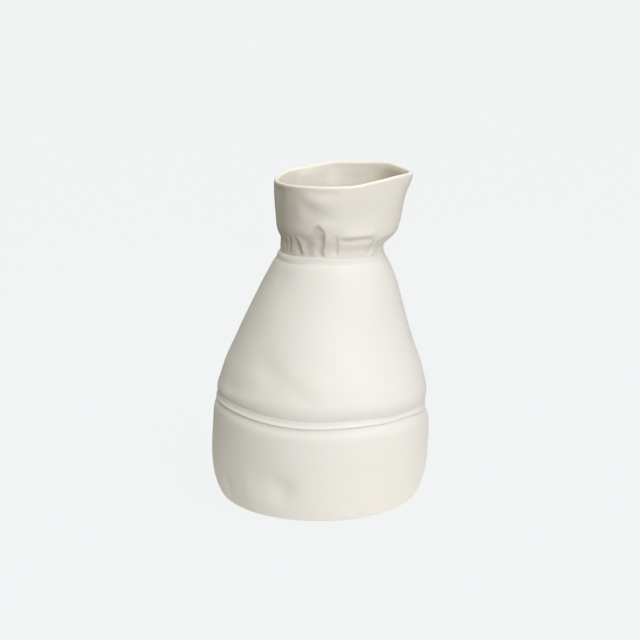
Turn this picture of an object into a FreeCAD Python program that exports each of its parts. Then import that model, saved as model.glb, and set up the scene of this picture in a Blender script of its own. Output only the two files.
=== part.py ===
import FreeCAD, Part
import math
import os

import Sketcher
from FreeCAD import Placement, Rotation, Vector

# A pillow vase: a puffed lower band, a lower seam with a raised welt, a cone-shaped shoulder, a neck seam
# with its own welt, and a gathered collar that opens into an uneven oval mouth. The front faces -Y, +X is
# to the right, +Z is up, and the origin is on the ground under the middle of the body. Lengths are in
# millimetres, angles in degrees.

# Each driving size: its name, its value and what it measures.
SIZES = (
    ("wall", 3.2, "thickness of the cast wall"),
    ("foot_radius", 64.0, "outer radius of the ring that it stands on"),
    ("foot_lean", -0.8, "sideways place of the foot's centre"),
    ("belly_radius", 74.2, "widest radius of the lower band"),
    ("floor_height", 3.0, "underside of the floor above the foot"),
    ("floor_thick", 3.5, "thickness of the floor"),
    ("floor_gap", 0.3, "joint between the floor's edge and the band"),
    ("seam_height", 66.0, "height of the lower seam at its centre"),
    ("seam_tuck", 4.4, "depth of the lower seam's valley inside the widest radius"),
    ("seam_lean", 0.7, "sideways place of the lower seam's centre"),
    ("seam_tilt", 2.6, "angle by which the lower seam drops to the right"),
    ("seam_web", 2.8, "height of the lower seam's web, and width of its round welt"),
    ("shoulder_radius", 71.7, "widest radius of the shoulder, just over the seam"),
    ("neck_height", 166.0, "height of the neck seam"),
    ("neck_radius", 34.4, "outer radius of the collar where it is gathered"),
    ("neck_ledge", 0.4, "step from the gathered collar out to the neck seam"),
    ("neck_lean", 7.7, "sideways place of the neck's centre"),
    ("neck_web", 1.5, "height of the neck seam's web, and width of its round welt"),
    ("mouth_height", 217.4, "mean height of the lip"),
    ("mouth_radius", 40.8, "mean outer radius of the lip"),
    ("mouth_lean", 15.3, "sideways place of the lip's centre"),
    ("mouth_rise_right", 3.15, "how far the lip rises to the right of its centre"),
    ("mouth_rise_back", 2.3, "how far the lip rises behind its centre"),
    ("mouth_wave", 0.9, "how far the lip dips at its two ends"),
    ("lip_lift", 2.0, "how far the lip's uneven edge stands over its even slope"),
    ("lip_pull", 2.2, "how far the lip is pulled out at its pointed end"),
    ("gather_depth", 1.5, "depth of the deepest crease of the gathers"),
    ("glaze_thick", 0.4, "thickness of the inside glaze"),
    ("glaze_gap", 0.3, "bond line between the glaze and the walls"),
    ("glaze_drop", 4.0, "bare lip above the glaze"),
)

# Rings of the foot: share of the floor's height, radius share from the foot out to the belly, and wall
# share, which allows for the wall's slope.
FOOT_SHARES = (
    (0.0, 0.0, 1.2),
    (0.45, 0.285, 1.4),
    (1.0, 0.42, 1.30),
)
FLOOR_TOP_SHARES = (0.578, 1.16)

# Rings of the lower band over the floor: height share from the floor's top to the seam, radius share out to
# the belly, where that share starts, lean shares of the foot and of the seam, share of the seam's tilt, and
# wall share.
BAND_SHARES = (
    (0.090, 0.755, "foot", 0.3, 0.1, 0.0, 1.06),
    (0.242, 0.920, "foot", 0.0, 0.3, 0.0, 1.02),
    (0.457, 1.0, "foot", 0.0, 0.4, 0.15, 1.0),
    (0.672, 1.0, "foot", 0.0, 0.7, 0.45, 1.0),
    (0.833, 0.870, "seam", 0.0, 0.9, 0.8, 1.0),
    (0.932, 0.600, "seam", 0.0, 1.0, 1.0, 1.02),
    (0.977, 0.270, "seam", 0.0, 1.0, 1.0, 1.02),
)

# Rings of the shoulder: height share from seam to neck, radius share out to the shoulder, where that share
# starts, share of the lean from seam to neck, share of the seam's tilt, and wall share.
SHOULDER_SHARES = (
    (0.013, 0.313, "seam", 0.02, 1.0, 1.05),
    (0.035, 0.961, "seam", 0.04, 0.9, 1.02),
    (0.073, 0.922, "seam", 0.10, 0.6, 1.0),
    (0.142, 0.945, "neck", 0.15, 0.4, 1.03),
    (0.232, 0.871, "neck", 0.19, 0.25, 1.06),
    (0.352, 0.749, "neck", 0.25, 0.15, 1.08),
    (0.531, 0.563, "neck", 0.40, 0.05, 1.08),
    (0.730, 0.368, "neck", 0.70, 0.0, 1.08),
    (0.879, 0.204, "neck", 0.91, 0.0, 1.1),
    (0.919, 0.154, "neck", 0.94, 0.0, 1.11),
    (0.959, 0.097, "neck", 0.97, 0.0, 1.12),
)

# Rings of the collar: height share from the neck seam to the lip, radius share from neck to mouth, share of
# the lean, share of the mouth's oval plan, share of the lip's slope, share of its uneven edge, and share of
# the gathers' depth.
COLLAR_SHARES = (
    (0.0, 0.0, 0.0, 0.0, 0.0, 0.0, 0.8),
    (0.06, -0.02, 0.05, 0.0, 0.0, 0.0, 1.0),
    (0.14, 0.02, 0.13, 0.05, 0.02, 0.0, 1.0),
    (0.21, 0.25, 0.40, 0.2, 0.06, 0.0, 0.6),
    (0.29, 0.53, 0.55, 0.4, 0.12, 0.01, 0.2),
    (0.40, 0.72, 0.62, 0.6, 0.25, 0.03, 0.0),
    (0.56, 0.80, 0.72, 0.8, 0.45, 0.08, 0.0),
    (0.76, 0.93, 0.84, 0.9, 0.75, 0.25, 0.0),
)

# The mouth's oval plan as shares of its radius, each with the number of waves round the rim: a shift to the
# left, a long axis from left to right, and a pointed right end.
PLAN_SHARES = ((1, -0.07), (2, 0.071), (3, 0.048), (4, 0.016))

# The lip's uneven edge: shares of its lift at even steps round the mouth, from the left end past the front,
# the right end and the back. The pointed end has its own angle and half width.
LIFT_SHARES = (
    0.75, 1.0, 0.9, 0.7, 0.45, 0.05, -0.3, -0.55, -0.25, 0.0, 0.35, 0.35,
    0.3, 0.4, 0.5, 0.1, -0.25, -0.4, -0.25, -0.15, -0.4, -0.2, 0.05, 0.45,
)
POINT_ANGLE = -2.0
POINT_HALF_ANGLE = 10.0

# Each crease of the gathers: its angle about the neck, where -90 is the front, and its share of the full
# depth.
CREASE_SHARES = (
    (-170, 0.5), (-154, 0.8), (-142, 0.9), (-126, 0.7), (-111, 0.9), (-99, 1.0), (-85, 0.6), (-47, 0.9),
    (-20, 0.6), (4, 0.8), (22, 0.6), (40, 0.9), (62, 0.7), (85, 1.0), (105, 0.7), (130, 0.9), (150, 0.6),
)
CREASE_HALF_ANGLE = 5.0

# Share of the gathers' depth that still shows on the inner face, where the casting slip evened it out.
INNER_GATHER_SHARE = 0.3

LIP_STEPS = 6
COLLAR_POINTS = 120
GLAZE_POINTS = 60

doc = FreeCAD.newDocument("PillowVase")
sheet = doc.addObject("Spreadsheet::Sheet", "sizes")
for row, (alias, value, note) in enumerate(SIZES, start=1):
    sheet.set(f"A{row}", alias)
    sheet.set(f"B{row}", str(value))
    sheet.set(f"C{row}", note)
    sheet.setAlias(f"B{row}", alias)
doc.recompute()


def size(alias):
    """Reads one driving size from the sheet."""
    return float(sheet.get(alias))


def between(start, end, share):
    """Expression for the size that lies the given share of the way from one expression to another."""
    return f"(({start}) + {share} * (({end}) - ({start})))"


# Expressions that more than one piece follows.
FLOOR_TOP = "(sizes.floor_height + sizes.floor_thick)"
SEAM_RADIUS = "(max(sizes.belly_radius; sizes.shoulder_radius) - sizes.seam_tuck)"
SEAM_BORE = f"({SEAM_RADIUS} - sizes.wall)"
NECK_BORE = "(sizes.neck_radius - sizes.wall)"
NECK_RIM = "(sizes.neck_radius + sizes.neck_ledge)"
BAND_TOP = "(sizes.seam_height - 0.5 * sizes.seam_web)"
SHOULDER_FOOT = "(sizes.seam_height + 0.5 * sizes.seam_web)"
SHOULDER_TOP = "(sizes.neck_height - 0.5 * sizes.neck_web)"
STARTS = {"foot": "sizes.foot_radius", "seam": SEAM_RADIUS, "neck": "sizes.neck_radius"}


class Ring:
    """One level of a wall: its centre, outer and inner radius and tilt, each as an expression."""

    def __init__(self, across, height, outer, inner, tilt_share):
        self.across = across
        self.height = height
        self.outer = outer
        self.inner = inner
        self.tilt = f"{tilt_share} * sizes.seam_tilt"


def seam_face(side, outer, inner):
    """Ring on the lower (-1) or upper (1) face of the lower seam's web, square to the seam's tilted axis."""
    along = f"{0.5 * side} * sizes.seam_web"
    across = f"sizes.seam_lean + {along} * sin(sizes.seam_tilt)"
    height = f"sizes.seam_height + {along} * cos(sizes.seam_tilt)"
    return Ring(across, height, outer, inner, 1.0)


def foot_rings():
    """Rings of the band from the ground to the floor's top face."""
    rings = []
    for height_share, radius_share, wall_share in FOOT_SHARES:
        outer = between("sizes.foot_radius", "sizes.belly_radius", radius_share)
        inner = f"({outer} - {wall_share} * sizes.wall)"
        rings.append(Ring("sizes.foot_lean", f"{height_share} * sizes.floor_height", outer, inner, 0.0))
    radius_share, wall_share = FLOOR_TOP_SHARES
    outer = between("sizes.foot_radius", "sizes.belly_radius", radius_share)
    inner = f"({outer} - {wall_share} * sizes.wall)"
    rings.append(Ring("sizes.foot_lean", FLOOR_TOP, outer, inner, 0.0))
    return rings


def band_rings():
    """Rings of the puffed band from the floor's top face to the lower seam."""
    rings = []
    for height_share, radius_share, start, foot_share, seam_share, tilt_share, wall_share in BAND_SHARES:
        outer = between(STARTS[start], "sizes.belly_radius", radius_share)
        inner = f"({outer} - {wall_share} * sizes.wall)"
        across = f"{foot_share} * sizes.foot_lean + {seam_share} * sizes.seam_lean"
        rings.append(Ring(across, between(FLOOR_TOP, BAND_TOP, height_share), outer, inner, tilt_share))
    rings.append(seam_face(-1, SEAM_RADIUS, SEAM_BORE))
    return rings


def shoulder_rings():
    """Rings of the shoulder from the lower seam to the neck seam."""
    rings = [seam_face(1, SEAM_RADIUS, SEAM_BORE)]
    for height_share, radius_share, start, lean_share, tilt_share, wall_share in SHOULDER_SHARES:
        outer = between(STARTS[start], "sizes.shoulder_radius", radius_share)
        inner = f"({outer} - {wall_share} * sizes.wall)"
        across = between("sizes.seam_lean", "sizes.neck_lean", lean_share)
        height = between(SHOULDER_FOOT, SHOULDER_TOP, height_share)
        rings.append(Ring(across, height, outer, inner, tilt_share))
    rings.append(Ring("sizes.neck_lean", SHOULDER_TOP, NECK_RIM, NECK_BORE, 0.0))
    return rings


def new_body(name):
    """Makes an empty body whose label is the piece's name."""
    body = doc.addObject("PartDesign::Body", name)
    body.Label = name
    body.Placement = Placement()
    doc.recompute()
    return body


def new_sketch(body, name, plane):
    """Makes a sketch on one of the body's own origin planes."""
    sketch = body.newObject("Sketcher::SketchObject", name)
    support = [feature for feature in body.Origin.OriginFeatures if feature.Role == plane][0]
    sketch.AttachmentSupport = [(support, "")]
    sketch.MapMode = "FlatFace"
    return sketch


def bind(sketch, name, constraint, expression):
    """Adds a named constraint to a sketch and ties it to an expression."""
    index = sketch.addConstraint(constraint)
    sketch.renameConstraint(index, name)
    sketch.setExpression(f"Constraints.{name}", expression)


def draw_circle(sketch, name, start_radius, radius):
    """Draws a circle round the sketch's origin as four quarter arcs and ties its radius to an expression."""
    first = sketch.GeometryCount
    circle = Part.Circle(Vector(), Vector(0, 0, 1), start_radius)
    quarter = math.pi / 2
    for step in range(4):
        arc = Part.ArcOfCircle(circle, step * quarter, (step + 1) * quarter)
        sketch.addGeometry(arc, False)
        sketch.addConstraint(Sketcher.Constraint("Coincident", first + step, 3, -1, 1))
    for step in range(3):
        sketch.addConstraint(Sketcher.Constraint("Coincident", first + step, 2, first + step + 1, 1))
    for step, axis in enumerate((-1, -2, -1, -2)):
        sketch.addConstraint(Sketcher.Constraint("PointOnObject", first + step, 1, axis))
    sketch.addConstraint(Sketcher.Constraint("PointOnObject", first + 3, 2, -1))
    bind(sketch, name, Sketcher.Constraint("Radius", first, start_radius), radius)


def wall_body(name, rings):
    """Builds a hollow wall as one loft through rings that each hold an outer and an inner circle."""
    body = new_body(name)
    sketches = []
    for number, ring in enumerate(rings):
        sketch = new_sketch(body, f"{name}_ring_{number}", "XY_Plane")
        draw_circle(sketch, "outer", size("belly_radius"), ring.outer)
        draw_circle(sketch, "inner", size("neck_radius"), ring.inner)
        sketch.AttachmentOffset = Placement(Vector(), Rotation(Vector(0, 1, 0), size("seam_tilt")))
        sketch.setExpression("AttachmentOffset.Base.x", ring.across)
        sketch.setExpression("AttachmentOffset.Base.z", ring.height)
        sketch.setExpression("AttachmentOffset.Rotation.Angle", ring.tilt)
        sketches.append(sketch)
    doc.recompute()
    loft = body.newObject("PartDesign::AdditiveLoft", f"{name}_wall")
    loft.Profile = sketches[0]
    loft.Sections = sketches[1:]
    doc.recompute()
    return body


def revolve(body, sketch):
    """Turns a sketch once round its own upright axis."""
    turn = body.newObject("PartDesign::Revolution", f"{body.Name}_turn")
    turn.Profile = sketch
    turn.ReferenceAxis = (sketch, ["V_Axis"])
    turn.Angle = 360
    doc.recompute()


def close_lines(sketch, first, count):
    """Joins each edge's end to the next edge's start, all the way round."""
    for step in range(count):
        following = first + (step + 1) % count
        sketch.addConstraint(Sketcher.Constraint("Coincident", first + step, 2, following, 1))


def floor_body(name):
    """Builds the floor, a disc whose edge slopes with the band's wall that carries it."""
    body = new_body(name)
    sketch = new_sketch(body, f"{name}_profile", "XZ_Plane")
    below, above = foot_rings()[-2:]
    low = size("floor_height")
    high = low + size("floor_thick")
    wide = size("foot_radius")
    corners = [Vector(0, low), Vector(wide, low), Vector(wide, high), Vector(0, high)]
    for step in range(4):
        sketch.addGeometry(Part.LineSegment(corners[step], corners[(step + 1) % 4]), False)
    close_lines(sketch, 0, 4)
    sketch.addConstraint(Sketcher.Constraint("Horizontal", 0))
    sketch.addConstraint(Sketcher.Constraint("Horizontal", 2))
    sketch.addConstraint(Sketcher.Constraint("PointOnObject", 0, 1, -2))
    sketch.addConstraint(Sketcher.Constraint("PointOnObject", 3, 1, -2))
    bind(sketch, "underside", Sketcher.Constraint("DistanceY", -1, 1, 0, 1, low), "sizes.floor_height")
    bind(sketch, "top", Sketcher.Constraint("DistanceY", -1, 1, 3, 1, high), FLOOR_TOP)
    bind(sketch, "lower_edge", Sketcher.Constraint("DistanceX", -1, 1, 0, 2, wide),
         f"{below.inner} - sizes.floor_gap")
    bind(sketch, "upper_edge", Sketcher.Constraint("DistanceX", -1, 1, 1, 2, wide),
         f"{above.inner} - sizes.floor_gap")
    sketch.setExpression("AttachmentOffset.Base.x", below.across)
    doc.recompute()
    revolve(body, sketch)
    return body


def welt_body(name, across, height, tilt, bore, rim, web):
    """Builds a seam's welt: a flat web between two panels that ends in a half-round bead outside."""
    body = new_body(name)
    sketch = new_sketch(body, f"{name}_profile", "XZ_Plane")
    half = size("seam_web") / 2
    near = size("neck_radius") - size("wall")
    far = size("neck_radius")
    bead = Part.Circle(Vector(far, 0), Vector(0, 0, 1), half)
    sketch.addGeometry(Part.LineSegment(Vector(near, -half), Vector(far, -half)), False)
    sketch.addGeometry(Part.ArcOfCircle(bead, -math.pi / 2, math.pi / 2), False)
    sketch.addGeometry(Part.LineSegment(Vector(far, half), Vector(near, half)), False)
    sketch.addGeometry(Part.LineSegment(Vector(near, half), Vector(near, -half)), False)
    close_lines(sketch, 0, 4)
    sketch.addConstraint(Sketcher.Constraint("Horizontal", 0))
    sketch.addConstraint(Sketcher.Constraint("Horizontal", 2))
    sketch.addConstraint(Sketcher.Constraint("Vertical", 3))
    sketch.addConstraint(Sketcher.Constraint("PointOnObject", 1, 3, -1))
    sketch.addConstraint(Sketcher.Constraint("Vertical", 1, 3, 0, 2))
    sketch.addConstraint(Sketcher.Constraint("Vertical", 1, 3, 2, 1))
    bind(sketch, "bead", Sketcher.Constraint("Radius", 1, half), f"0.5 * {web}")
    bind(sketch, "rim", Sketcher.Constraint("DistanceX", -1, 1, 1, 3, far), rim)
    bind(sketch, "bore", Sketcher.Constraint("DistanceX", -1, 1, 3, 1, near), bore)
    sketch.AttachmentOffset = Placement(Vector(), Rotation(Vector(0, 0, 1), -size("seam_tilt")))
    sketch.setExpression("AttachmentOffset.Base.x", across)
    sketch.setExpression("AttachmentOffset.Base.y", height)
    sketch.setExpression("AttachmentOffset.Rotation.Angle", tilt)
    doc.recompute()
    revolve(body, sketch)
    return body


def mix(start, end, share):
    """The value that lies the given share of the way from start to end."""
    return start + share * (end - start)


def crease(angle):
    """Depth share of the gathers at an angle about the neck, in degrees."""
    depth = 0.0
    for middle, share in CREASE_SHARES:
        away = (angle - middle + 180) % 360 - 180
        depth += share * math.exp(-((away / CREASE_HALF_ANGLE) ** 2))
    return depth


def lift(angle):
    """Share of the lip's lift at an angle about the mouth, in degrees."""
    place = (angle + 180) % 360 / 360 * len(LIFT_SHARES)
    step = int(place)
    blend = (1 - math.cos(math.pi * (place - step))) / 2
    return mix(LIFT_SHARES[step % len(LIFT_SHARES)], LIFT_SHARES[(step + 1) % len(LIFT_SHARES)], blend)


def pull(angle):
    """Share of the lip's pull at an angle about the mouth, in degrees."""
    away = (angle - POINT_ANGLE + 180) % 360 - 180
    return math.exp(-((away / POINT_HALF_ANGLE) ** 2))


class CollarLevel:
    """One level of the collar, with its rings as lists of points."""

    def __init__(self, height, radius, across, plan_share, slope_share, edge_share, gather_share):
        self.height = height
        self.radius = radius
        self.across = across
        self.plan_share = plan_share
        self.slope_share = slope_share
        self.edge_share = edge_share
        self.gather_share = gather_share

    def ring(self, inset, drop, count):
        """Points round the level, moved in by an inset and down by a drop."""
        points = []
        for step in range(count):
            turn = 2 * math.pi * step / count
            angle = math.degrees(turn)
            shape = sum(share * math.cos(waves * turn) for waves, share in PLAN_SHARES)
            radius = self.radius * (1 + self.plan_share * shape) - inset
            radius += self.edge_share * size("lip_pull") * pull(angle)
            radius -= self.gather_share * size("gather_depth") * crease(angle)
            rise = size("mouth_rise_right") * math.cos(turn) + size("mouth_rise_back") * math.sin(turn)
            rise -= size("mouth_wave") * math.cos(2 * turn)
            height = self.height - drop + self.slope_share * rise
            height += self.edge_share * size("lip_lift") * lift(angle)
            points.append(Vector(self.across + radius * math.cos(turn), radius * math.sin(turn), height))
        return points


def collar_levels(gather_factor):
    """Levels of the collar's outer face below its lip, with the gathers weakened by a factor."""
    foot = size("neck_height") + size("neck_web") / 2
    top = size("mouth_height")
    levels = []
    for height_share, radius_share, lean_share, *shares, gather_share in COLLAR_SHARES:
        levels.append(CollarLevel(
            mix(foot, top, height_share),
            mix(size("neck_radius"), size("mouth_radius"), radius_share),
            mix(size("neck_lean"), size("mouth_lean"), lean_share),
            *shares, gather_share * gather_factor))
    return levels


def lip_level():
    """The level of the lip, full in plan and slope."""
    return CollarLevel(size("mouth_height"), size("mouth_radius"), size("mouth_lean"), 1, 1, 1, 0)


def skin(rings):
    """One smooth closed surface through a list of rings that all hold the same number of points."""
    count = len(rings[0])
    spacing = [0.0]
    for lower, upper in zip(rings, rings[1:]):
        reach = sum(a.distanceToPoint(b) for a, b in zip(lower, upper)) / count
        spacing.append(spacing[-1] + reach)
    columns = []
    for step in range(count):
        curve = Part.BSplineCurve()
        curve.interpolate(Points=[ring[step] for ring in rings], Parameters=spacing)
        columns.append(curve)
    poles = [curve.getPoles() for curve in columns]
    surface = Part.BSplineSurface()
    surface.buildFromPolesMultsKnots(
        poles, [1] * (count + 1), columns[0].getMultiplicities(),
        [step / count for step in range(count + 1)], columns[0].getKnots(), True, False, 3, columns[0].Degree)
    return surface.toShape()


def end_wire(face, at_start):
    """The closed edge at the first or the last ring of a skin."""
    surface = face.Surface
    first, last = surface.bounds()[2:]
    curve = surface.vIso(first if at_start else last)
    return Part.Wire([curve.toShape()])


def solid_of(faces, name):
    """Sews faces into one closed solid that faces outwards and carries the piece's name."""
    shell = Part.makeCompound(faces)
    shell.sewShape()
    solid = Part.Solid(shell.Shells[0])
    if solid.Volume < 0:
        solid.reverse()
    piece = doc.addObject("Part::Feature", name)
    piece.Label = name
    piece.Shape = solid
    piece.Placement = Placement()
    return piece


def glaze_edge_level():
    """The level of the glaze's upper edge, between the lip and the highest level below it."""
    lip = lip_level()
    below = collar_levels(INNER_GATHER_SHARE)[-1]
    share = size("glaze_drop") / (lip.height - below.height)
    return CollarLevel(
        mix(lip.height, below.height, share), mix(lip.radius, below.radius, share),
        mix(lip.across, below.across, share), mix(lip.plan_share, below.plan_share, share),
        mix(lip.slope_share, below.slope_share, share), mix(lip.edge_share, below.edge_share, share),
        mix(lip.gather_share, below.gather_share, share))


def collar_piece(name):
    """Builds the gathered collar: outer face, rounded lip and inner face in one skin on a flat foot."""
    wall = size("wall")
    lip = lip_level()
    rings = [level.ring(0, 0, COLLAR_POINTS) for level in collar_levels(1)]
    for step in range(LIP_STEPS + 1):
        turn = math.pi * step / LIP_STEPS
        inset = wall / 2 * (1 - math.cos(turn))
        drop = wall / 2 * (1 - math.sin(turn))
        rings.append(lip.ring(inset, drop, COLLAR_POINTS))
    for level in reversed(collar_levels(INNER_GATHER_SHARE)):
        rings.append(level.ring(wall, 0, COLLAR_POINTS))
    face = skin(rings)
    foot = Part.makeFace([end_wire(face, True), end_wire(face, False)], "Part::FaceMakerBullseye")
    return solid_of([face, foot], name)


def sheet_value(expression):
    """Works out an expression of sheet sizes as a number."""
    return float(sheet.evalExpression(expression))


def glaze_rings(inset):
    """Rings of the glaze along the inner walls, from the floor to under the lip, moved in by an inset."""
    floor_ring = foot_rings()[-1]
    rings = []
    for ring in [floor_ring] + band_rings() + shoulder_rings():
        centre = Vector(sheet_value(ring.across), 0, sheet_value(ring.height))
        if ring is floor_ring:
            centre.z += inset
        radius = sheet_value(ring.inner) - inset
        tilt = Rotation(Vector(0, 1, 0), sheet_value(ring.tilt))
        points = []
        for step in range(GLAZE_POINTS):
            turn = 2 * math.pi * step / GLAZE_POINTS
            point = Vector(radius * math.cos(turn), radius * math.sin(turn), 0)
            points.append(centre + tilt.multVec(point))
        rings.append(points)
    for level in collar_levels(INNER_GATHER_SHARE) + [glaze_edge_level()]:
        rings.append(level.ring(size("wall") + inset, 0, GLAZE_POINTS))
    return rings


def glaze_piece(name):
    """Builds the glaze, a thin skin that lines the floor and the walls up to just under the lip."""
    outer_inset = size("glaze_gap")
    inner_inset = outer_inset + size("glaze_thick")
    outer = skin(glaze_rings(outer_inset))
    inner = skin(glaze_rings(inner_inset))
    top = Part.makeRuledSurface(end_wire(outer, False), end_wire(inner, False))
    floors = [Part.Face(end_wire(face, True)) for face in (outer, inner)]
    return solid_of([outer, inner, top] + floors, name)


pieces = [
    floor_body("base_floor"),
    wall_body("lower_band", foot_rings() + band_rings()),
    welt_body("lower_seam_welt", "sizes.seam_lean", "sizes.seam_height", "-sizes.seam_tilt",
              SEAM_BORE, SEAM_RADIUS, "sizes.seam_web"),
    wall_body("shoulder_cone", shoulder_rings()),
    welt_body("neck_seam_welt", "sizes.neck_lean", "sizes.neck_height", "0",
              NECK_BORE, NECK_RIM, "sizes.neck_web"),
    collar_piece("gathered_collar"),
    glaze_piece("inner_glaze"),
]
doc.recompute()

for item in doc.Objects:
    if "Invalid" in item.State or "Error" in item.State:
        raise RuntimeError(f"{item.Label} failed: {item.State}")
for piece in pieces:
    if piece.Shape.isNull() or not piece.Shape.isValid():
        raise RuntimeError(f"{piece.Label} has no valid shape")

os.makedirs("parts", exist_ok=True)
for piece in pieces:
    piece.Shape.exportStep(f"parts/{piece.Label}.step")
    print(f"{piece.Label}: {piece.Shape.Volume:.0f} mm3, {len(piece.Shape.Solids)} solid")
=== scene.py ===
"""Looks of a pillow vase: unglazed white porcelain cast from a form of sewn, puffed panels.

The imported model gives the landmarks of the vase. Each wall starts as a flat sheet made with bmesh operators,
which is wrapped round the vase and sculpted vertex by vertex with its outline, gathers, folds and dents.
Lengths are in millimetres until a piece is finished, and the front of the vase faces -Y.
"""

from __future__ import annotations

import logging
import math
from collections.abc import Sequence
from dataclasses import dataclass, field, replace
from enum import Enum

import bmesh
import bpy
import numpy as np
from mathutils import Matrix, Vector


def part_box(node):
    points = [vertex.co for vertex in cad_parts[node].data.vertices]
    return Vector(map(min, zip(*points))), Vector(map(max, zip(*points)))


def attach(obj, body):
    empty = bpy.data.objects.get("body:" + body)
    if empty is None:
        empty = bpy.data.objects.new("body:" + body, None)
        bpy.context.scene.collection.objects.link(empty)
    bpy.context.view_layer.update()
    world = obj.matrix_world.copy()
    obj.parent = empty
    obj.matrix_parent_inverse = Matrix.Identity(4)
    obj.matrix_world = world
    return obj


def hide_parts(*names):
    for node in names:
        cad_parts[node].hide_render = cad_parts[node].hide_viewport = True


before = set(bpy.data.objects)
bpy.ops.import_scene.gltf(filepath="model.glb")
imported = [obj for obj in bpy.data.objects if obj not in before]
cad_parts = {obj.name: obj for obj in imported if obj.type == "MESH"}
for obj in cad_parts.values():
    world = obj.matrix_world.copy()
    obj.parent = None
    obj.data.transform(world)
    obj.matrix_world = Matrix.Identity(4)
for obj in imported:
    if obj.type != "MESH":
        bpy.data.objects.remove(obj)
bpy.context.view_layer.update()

LOG = logging.getLogger("pillow_vase")
MM = 0.001
WELD = 0.002
BODY = "root"
# Name of the attribute that carries crease depth and painted light and shade to the finish.
RELIEF = "relief"

Numbers = float | np.ndarray
Pairs = tuple[tuple[float, float], ...]
Color = tuple[float, float, float, float]


class Slot(Enum):
    """Material slots of the record."""

    BISQUE = "bisque"
    GLAZE = "glaze"


def half_turn(degrees: Numbers) -> Numbers:
    """Angles in degrees brought into the range from -180 to 180."""
    return (degrees + 180.0) % 360.0 - 180.0


def bump(away: np.ndarray, reach: float) -> np.ndarray:
    """A smooth hill, 1 in its middle, that has fallen to about a third at its reach."""
    return np.exp(-((away / reach) ** 2))


def step_up(value: np.ndarray, start: float, end: float) -> np.ndarray:
    """A smooth step from 0 at start to 1 at end."""
    share = np.clip((value - start) / (end - start), 0.0, 1.0)
    return share * share * (3.0 - 2.0 * share)


def between(start: Numbers, end: Numbers, share: Numbers) -> Numbers:
    """The value that lies the given share of the way from start to end."""
    return start + share * (end - start)


def wrap(radius: np.ndarray, turn: np.ndarray, tilt: Numbers) -> np.ndarray:
    """Points round the upright axis at a radius and turn, in a plane whose right side drops by the tilt."""
    right = radius * np.cos(turn)
    return np.stack([right * np.cos(tilt), radius * np.sin(turn), -right * np.sin(tilt)], axis=1)


def mesh_from(shape: bmesh.types.BMesh, name: str) -> bpy.types.Mesh:
    """Turns a bmesh into a new mesh and frees it."""
    mesh = bpy.data.meshes.new(name)
    shape.to_mesh(mesh)
    shape.free()
    return mesh


def vertex_places(mesh: bpy.types.Mesh) -> np.ndarray:
    """The places of a mesh's vertices, one row each."""
    places = np.zeros(len(mesh.vertices) * 3)
    mesh.vertices.foreach_get("co", places)
    return places.reshape(-1, 3)


def add_object(name: str, data: bpy.types.ID) -> bpy.types.Object:
    """Makes an object and links it to the scene."""
    made = bpy.data.objects.new(name, data)
    bpy.context.scene.collection.objects.link(made)
    return made


class Spline:
    """A smooth curve through given values, with no bend at its two ends."""

    def __init__(self, places: Sequence[float], values: Sequence[float]) -> None:
        """Works out the curve's bends.

        Args:
            places: Where the values are given, in rising order.
            values: The curve's height at each place.
        """
        self.places = np.array(places, float)
        self.values = np.array(values, float)
        count = len(places)
        gaps = np.diff(self.places)
        slopes = np.diff(self.values) / gaps
        system = np.eye(count)
        right = np.zeros(count)
        for row in range(1, count - 1):
            system[row, row - 1] = gaps[row - 1]
            system[row, row] = 2.0 * (gaps[row - 1] + gaps[row])
            system[row, row + 1] = gaps[row]
            right[row] = 6.0 * (slopes[row] - slopes[row - 1])
        self.bends = np.linalg.solve(system, right)

    def at(self, place: np.ndarray) -> np.ndarray:
        """The curve's height at each of the given places."""
        cell = np.clip(np.searchsorted(self.places, place) - 1, 0, len(self.places) - 2)
        gap = self.places[cell + 1] - self.places[cell]
        after = (place - self.places[cell]) / gap
        before = 1.0 - after
        straight = before * self.values[cell] + after * self.values[cell + 1]
        curve = (before**3 - before) * self.bends[cell] + (after**3 - after) * self.bends[cell + 1]
        return straight + gap * gap / 6.0 * curve


class Loop:
    """A smooth closed curve of values round the vase."""

    lap = 4

    def __init__(self, stations: Pairs) -> None:
        """Closes the curve by laying its two ends over each other.

        Args:
            stations: Turn in degrees, rising from -180, and the value there.
        """
        turned_back = [(turn - 360.0, value) for turn, value in stations[-self.lap:]]
        turned_on = [(turn + 360.0, value) for turn, value in stations[:self.lap]]
        self.curve = Spline(*zip(*turned_back, *stations, *turned_on))

    def at(self, degrees: np.ndarray) -> np.ndarray:
        """The curve's value at each turn in degrees."""
        return self.curve.at(half_turn(degrees))


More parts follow.
